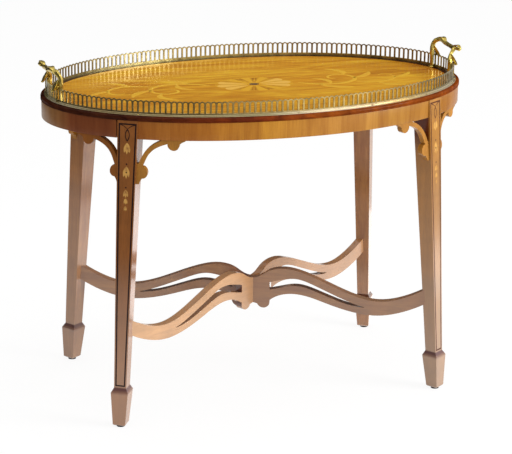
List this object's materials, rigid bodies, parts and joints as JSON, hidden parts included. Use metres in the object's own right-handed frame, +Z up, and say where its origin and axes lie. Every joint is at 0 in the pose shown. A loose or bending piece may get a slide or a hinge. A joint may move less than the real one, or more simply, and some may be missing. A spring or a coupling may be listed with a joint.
{
  "type": "tray top tea table",
  "caption": "Oval tea table with splayed tapered legs, arched brackets and crossed serpentine stretchers; its galleried tray top lifts off by cast brass handles.",
  "frame": {"origin": "on the floor, under the centre of the oval tray", "axes": "+X along the tray's length, +Y to the back, +Z up"},
  "size_m": [0.8444, 0.518, 0.6659],
  "materials": {
    "satinwood": "polished satinwood",
    "crossband": "polished crossbanded veneer",
    "panel_veneer": "glossy satinwood veneer",
    "dark_moulding": "polished dark hardwood",
    "dark_line": "polished dark stringing",
    "boxwood": "polished pale inlay",
    "shaded_veneer": "polished shaded veneer",
    "beech": "plain",
    "brass": "lacquered, slightly aged",
    "screw": "plain steel",
    "glide": "dark moulded"
  },
  "bodies": {
    "stand": {"bellflowers_back_left": "boxwood", "bellflowers_back_right": "boxwood", "bellflowers_front_left": "boxwood", "bellflowers_front_right": "boxwood", "bracket_back_left_end": "satinwood", "bracket_back_left_long": "satinwood", "bracket_back_right_end": "satinwood", "bracket_back_right_long": "satinwood", "bracket_dowels": "beech", "bracket_front_left_end": "satinwood", "bracket_front_left_long": "satinwood", "bracket_front_right_end": "satinwood", "bracket_front_right_long": "satinwood", "glide_back_left": "glide", "glide_back_right": "glide", "glide_front_left": "glide", "glide_front_right": "glide", "leg_back_left": "satinwood", "leg_back_right": "satinwood", "leg_front_left": "satinwood", "leg_front_right": "satinwood", "rail_back": "crossband", "rail_front": "crossband", "rail_left": "crossband", "rail_right": "crossband", "stretcher_back_left_to_front_right": "satinwood", "stretcher_front_left_to_back_right": "satinwood", "stringing_back_left": "dark_line", "stringing_back_right": "dark_line", "stringing_front_left": "dark_line", "stringing_front_right": "dark_line"},
    "tray": {"batten_screws": "screw", "gallery_back": "brass", "gallery_front": "brass", "gallery_pins": "brass", "handle_left": "brass", "handle_right": "brass", "handle_screws": "screw", "patera_ground": "shaded_veneer", "patera_hub": "dark_line", "patera_petals": "boxwood", "tray_batten_left": "beech", "tray_batten_right": "beech", "tray_moulding": "dark_moulding", "tray_panel": "panel_veneer"}
  },
  "joints": [
    {"name": "tray_lift", "type": "slide", "parent": "stand", "child": "tray", "axis": [0, 0, 1], "range_m": [0, 0.15]}
  ]
}
